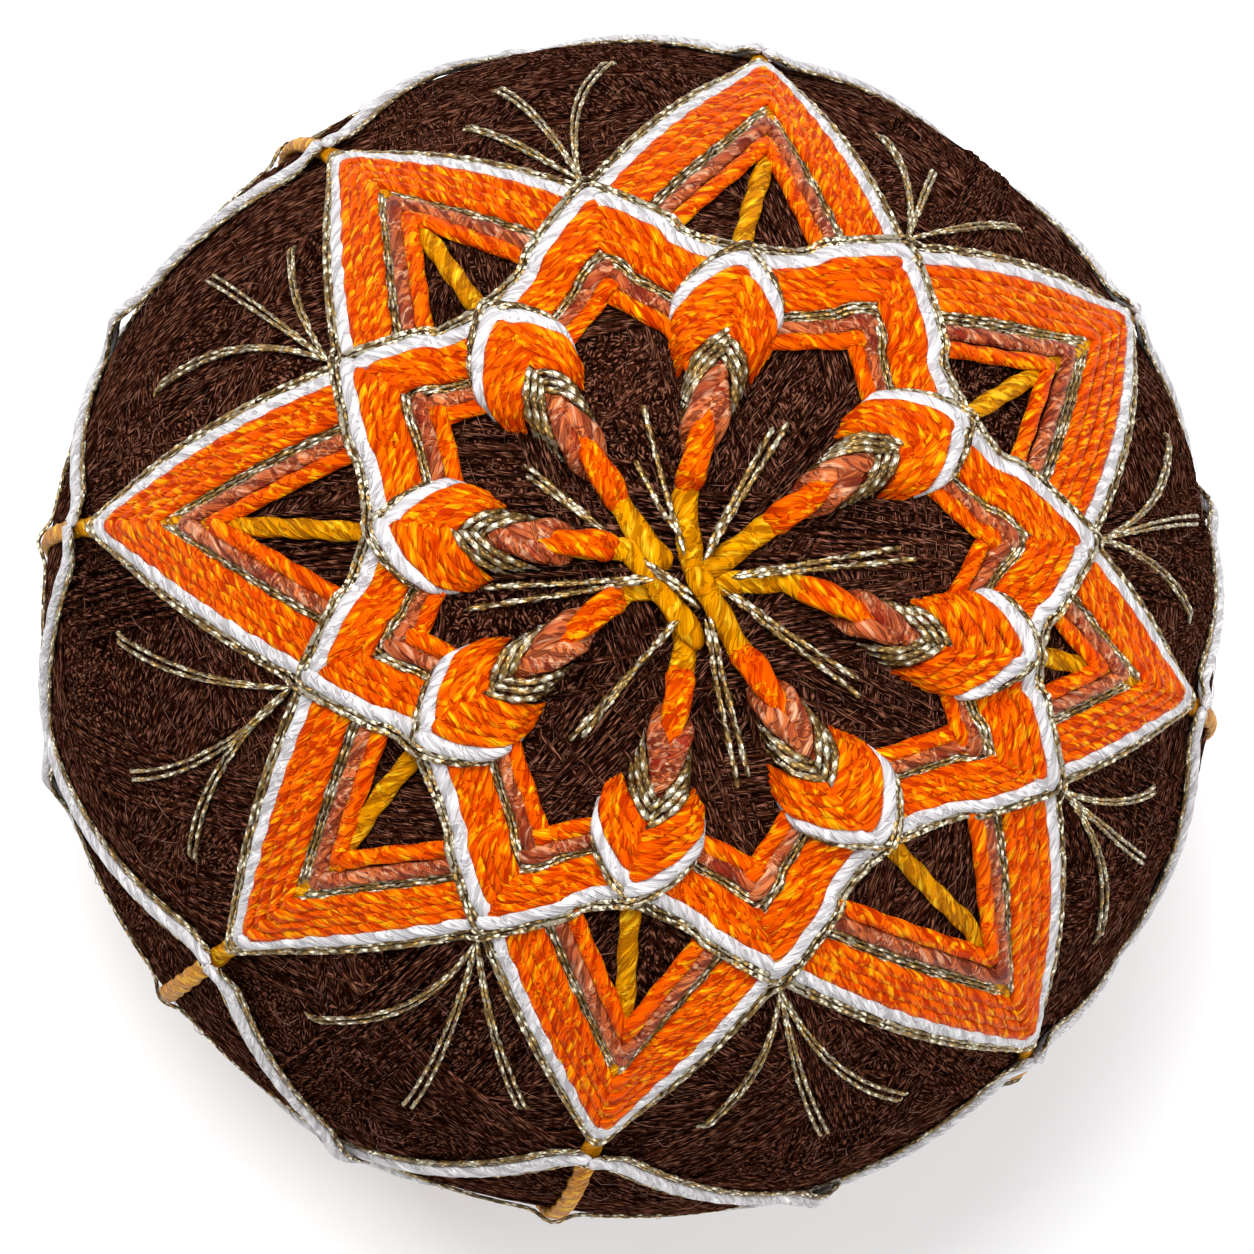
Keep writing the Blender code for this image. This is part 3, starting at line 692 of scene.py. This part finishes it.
def chrysanthemum(of, materials):
    """Every row of both interlaced stars, each thread from its tip to its arm."""
    kinds = {"inner": Threads(8), "rust": Threads(8), "gold": Threads(6), "orange": Threads(8),
             "white": Threads(8)}
    for k in range(SPOKE_COUNT):
        for turn in (1, -1):
            leg = Leg(of, k, turn)
            for kind, shares, half_width, head_width, half_thickness, stand in ROWS:
                group = "gold" if kind.startswith("gold") else kind
                for share in shares:
                    lift = 0.12 if kind.startswith("gold") else 0.0
                    outward, height, run, shown, widened, drawn_out = row_path(
                        leg, share, half_thickness, stand, lift)
                    width = mix(half_width, head_width, widened) * drawn_out
                    tone = wandering(run[-1], 14 if kind == "orange" else 7, TONES.get(kind, 1.0))
                    for start, stop in runs(shown):
                        if stop - start < 6:
                            continue
                        part = slice(start, stop)
                        whole = run[-1]
                        shade = np.interp(np.linspace(run[start], run[stop - 1], 40),
                                          np.linspace(0, whole, len(tone)), tone)
                        gold = group == "gold"
                        kinds[group].add(
                            outward[part] * (BALL_RADIUS + height[part])[:, None], outward[part],
                            width[part], half_thickness, GOLD_PITCH if gold else PITCHES[kind],
                            pinch=GOLD_PINCH if gold else PINCH, tone=shade,
                            step=GOLD_STEP if gold else STEP)
    node_name = f"chrysanthemum_{of.name}"
    slots = {"inner": "orange_thread", "rust": "orange_thread", "gold": "gold_thread",
             "orange": "orange_thread", "white": "white_thread"}
    for group, threads in kinds.items():
        replaced = (node_name,) if group == "orange" else ()
        threads.build(f"{group}_rows_{of.name}", slots[group], materials[group], replaced)


def arc(start, end, count):
    angle = math.acos(float(np.clip(np.dot(start, end), -1, 1)))
    t = np.linspace(0, 1, count)[:, None]
    return (np.sin((1 - t) * angle) * start + np.sin(t * angle) * end) / math.sin(angle)


def belt(hemispheres, white, gold):
    """Two zigzags of white thread edged with gold, and the gold thread on the equator."""
    top, bottom = hemispheres
    cotton_threads, gold_threads = Threads(8), Threads(6)
    for k in range(SPOKE_COUNT):
        for turn in (1, -1):
            start = top.outward(top.sizes(k)[0], KNOTS[top.like(k)])
            end = bottom.outward(bottom.sizes(k + turn)[0], KNOTS[bottom.like(k + turn)])
            path = arc(start, end, 90)
            run = np.linspace(0, 1, 90)
            length = math.acos(float(np.dot(start, end))) * BALL_RADIUS
            at = run * length
            over = np.exp(-(np.minimum(at, length - at) / 1.3) ** 2)
            middle = np.exp(-((at - length / 2) / 1.6) ** 2)
            height = 0.36 + 0.72 * over + (0.62 if turn > 0 else 0.05) * middle
            height = height - 0.2 * over * (turn < 0)
            side = unit(np.cross(path, np.gradient(path, axis=0)))
            cotton_threads.add(path * (BALL_RADIUS + height)[:, None], path, *BELT_WHITE,
                               PITCHES["white"], pinch=PINCH, tone=wandering(length, 9))
            for offset in BELT_GOLD_OFFSETS:
                edge = unit(path * BALL_RADIUS + side * offset)
                high = BALL_RADIUS + height - 0.10
                gold_threads.add(edge * high[:, None], edge, *BELT_GOLD, GOLD_PITCH,
                                 pinch=GOLD_PINCH, step=GOLD_STEP)
    azimuth = np.linspace(0, 360, 721)
    height = np.full(len(azimuth), 0.2)
    for k in range(SPOKE_COUNT):
        apart = (azimuth - top.sizes(k)[0] + 180) % 360 - 180
        height += 0.60 * np.exp(-(apart / 1.5) ** 2)
    for shift in (-0.13, 0.13):
        ring = top.outward(azimuth, 90 + shift / MM_PER_DEGREE)
        gold_threads.add(ring * (BALL_RADIUS + height)[:, None], ring, EQUATOR_HALF_WIDTH,
                         EQUATOR_HALF_WIDTH, GOLD_PITCH, pinch=GOLD_PINCH, step=GOLD_STEP)
    cotton_threads.build("belt_cotton", "white_thread", white, ("belt_zigzags",))
    gold_threads.build("belt_gold", "gold_thread", gold, ("equator_thread",))


def needle_stitches(of, gold):
    """Pairs of gold strands: a fan past each crossing, and a stitch between two necks."""
    threads = Threads(6)
    pole = np.array([0.0, 0.0, float(of.side)])
    replaced = []
    for k in range(SPOKE_COUNT):
        leg = Leg(of, k, 1)
        azimuth, polar = leg.place(1.0, leg.crossing(1.0))
        hub = of.outward(azimuth, polar + FAN_GAP)
        for root_bearing, end_bearing, length in FANS[of.like(k)]:
            for spread in (-0.9, 0.9):
                path = fan_path(hub, pole, root_bearing + spread * 2, end_bearing + spread, length)
                strand(threads, path, 0.14)
        for root_azimuth, root_polar, end_azimuth, end_polar in CENTRE_STITCHES[of.like(k)]:
            root = of.outward(root_azimuth + of.turned(k), root_polar)
            end = of.outward(end_azimuth + of.turned(k), end_polar)
            strand(threads, arc(root, end, 40), 0.20, rise=1.35)
        replaced += [f"needle_fan_{of.name}_{k + 1}", f"needle_pair_{of.name}_{k + 1}"]
    threads.build(f"needle_stitches_{of.name}", "gold_thread", gold, replaced)


def fan_path(start, pole, root_bearing, end_bearing, length):
    """A curved path on the ball; a bearing is measured from the way off the pole."""
    off_pole = unit(start * np.dot(start, pole) - pole)
    sideways = np.cross(start, off_pole)
    share = np.linspace(0, 1, 40)
    bearing = mix(root_bearing, end_bearing, share) * DEGREE
    ahead = np.cos(bearing)[:, None] * off_pole + np.sin(bearing)[:, None] * sideways
    away = (share * length * DEGREE)[:, None]
    return unit(start * np.cos(away) + ahead * np.sin(away))


def strand(threads, path, half_width, rise=0.0):
    """A gold strand along a path on the ball, higher by rise at its root."""
    share = np.linspace(0, 1, len(path))
    height = 0.26 + random.uniform(-0.04, 0.06) + 0.05 * np.sin(share * 9 + random.uniform(0, 6))
    height += rise * smooth(share, 0.42, 0.05)
    height = mix(-0.2, height, smooth(1 - share, -0.02, 0.06))
    threads.add(path * (BALL_RADIUS + height)[:, None], path, half_width, 0.15, GOLD_PITCH,
                pinch=GOLD_PINCH, step=GOLD_STEP)


def fuzz(material):
    """Loose fibres that stand off the brown winding."""
    threads = Threads(3)
    for _ in range(LOOSE_FIBRES):
        start = unit(random.normal(size=3))
        ahead = unit(np.cross(start, random.normal(size=3)))
        curl = np.cross(start, ahead) * random.uniform(-0.6, 0.6)
        length = random.uniform(0.5, 2.4)
        t = np.linspace(0, 1, 5)[:, None]
        path = start * BALL_RADIUS + (ahead * t + curl * t * t) * length
        lifted = random.uniform(0.06, 0.42) * np.sin(math.pi * np.minimum(t * 1.1, 1)) + 0.05
        outward = unit(path)
        threads.add(outward * (BALL_RADIUS + lifted), outward, FIBRE_RADIUS, FIBRE_RADIUS, 1.0, pinch=0.0,
                    tone=np.full(8, random.uniform(0, 1)), step=length / 3.5)
    threads.build("loose_fibres", "wound_thread", material)


def fibre_material(name, shadow, light):
    made, tree, shader = new_material(name)
    tone = node(tree, "ShaderNodeAttribute", attribute_name="tone").outputs["Fac"]
    tree.links.new(blend_colour(tree, shadow, light, tone), shader.inputs["Base Color"])
    shader.inputs["Roughness"].default_value = 0.6
    return made


# The camera: its axes, its distance from the ball's centre in metres, its lens and shift in mm
# and in shares of the picture's width.
CAMERA_RIGHT = (0.99333, 0.0, 0.11532)
CAMERA_BACK = (-0.11494, -0.08164, 0.99001)
CAMERA_DISTANCE = 0.324
LENS, SENSOR_WIDTH = 169.8, 36.0
SHIFT_X, SHIFT_Y = -2.9 / 1254, 2.3 / 1254
WORLD_STRENGTH = 0.50
# Lights: name, place in metres, size in metres, power in watts.
LIGHTS = (
    ("key", (-0.13, 0.18, 0.52), 0.28, 3.6),
    ("fill", (0.28, -0.12, 0.48), 0.30, 1.5),
)


def studio():
    """A pale floor, a soft overhead light and a camera at the photograph's angle."""
    bpy.ops.mesh.primitive_plane_add(size=3.0, location=(0, 0, 0))
    floor = bpy.context.object
    floor.name = "floor"
    made, tree, shader = new_material("pale_floor")
    shader.inputs["Base Color"].default_value = (0.93, 0.93, 0.93, 1)
    shader.inputs["Roughness"].default_value = 0.9
    floor.data.materials.append(made)

    world = bpy.data.worlds.new("soft_studio")
    world.use_nodes = True
    world.node_tree.nodes["Background"].inputs[0].default_value = (1, 1, 1, 1)
    world.node_tree.nodes["Background"].inputs[1].default_value = WORLD_STRENGTH
    bpy.context.scene.world = world
    bpy.context.scene.view_settings.view_transform = "Standard"

    aim = Vector((0, 0, CENTRE_HEIGHT * MM))
    for name, place, size, power in LIGHTS:
        data = bpy.data.lights.new(name, "AREA")
        data.size = size
        data.energy = power
        light = bpy.data.objects.new(name, data)
        light.location = place
        light.rotation_euler = (aim - Vector(place)).to_track_quat("-Z", "Y").to_euler()
        bpy.context.scene.collection.objects.link(light)

    lens = bpy.data.cameras.new("camera")
    lens.sensor_width = SENSOR_WIDTH
    lens.lens = LENS
    lens.shift_x = SHIFT_X
    lens.shift_y = SHIFT_Y
    lens.clip_start = 0.01
    camera = bpy.data.objects.new("camera", lens)
    right = Vector(CAMERA_RIGHT).normalized()
    back = Vector(CAMERA_BACK).normalized()
    up = back.cross(right).normalized()
    right = up.cross(back).normalized()
    turned = Matrix((right, up, back)).transposed().to_4x4()
    camera.matrix_world = Matrix.Translation(aim + back * CAMERA_DISTANCE) @ turned
    bpy.context.scene.collection.objects.link(camera)
    bpy.context.scene.camera = camera


def main():
    studio()
    hemispheres = (Hemisphere(1), Hemisphere(-1))
    # Each cotton's first colour is painted shade and its third painted highlight; the brown thread's
    # first colour is both its darkest strands and painted shade between plies, its third painted fibre
    # highlight; the gold's first and last colours are painted shaded facets and painted glints.
    brown = wound("brown_thread", (0.005, 0.001, 0.0005), (0.050, 0.013, 0.006), (0.34, 0.14, 0.085))
    orange = cotton("orange_cotton", (0.32, 0.012, 0.0001), (0.92, 0.160, 0.0003), (1.0, 0.46, 0.004),
                    (0.74, 0.066, 0.0001), gloss=0.05)
    rust = cotton("rust_cotton", (0.080, 0.005, 0.0015), (0.68, 0.180, 0.050), (0.95, 0.52, 0.30),
                  (0.24, 0.012, 0.003), fleck_highlight=0.6)
    white = cotton("white_cotton", (0.30, 0.28, 0.29), (0.70, 0.68, 0.69), (0.94, 0.93, 0.93),
                   (0.56, 0.54, 0.56), seam_shade=0.4, depth=0.00005)
    yellow = cotton("yellow_cotton", (0.22, 0.062, 0.0002), (0.74, 0.31, 0.0006), (0.96, 0.60, 0.02),
                    (0.54, 0.18, 0.0003), gloss=0.05)
    gold = metallic("gold_foil", (0.045, 0.019, 0.003), (0.64, 0.39, 0.11), (1.0, 0.92, 0.68))
    materials = {"inner": orange, "rust": rust, "gold": gold, "orange": orange, "white": white}

    wound_core(under_winding("under_winding", (0.008, 0.002, 0.001), (0.075, 0.021, 0.011)))
    lower_winding(brown)
    winding(brown)
    fuzz(fibre_material("brown_fibre", (0.04, 0.010, 0.005), (0.32, 0.13, 0.08)))
    division(yellow, hemispheres)
    for of in hemispheres:
        chrysanthemum(of, materials)
        needle_stitches(of, gold)
    belt(hemispheres, white, gold)


main()
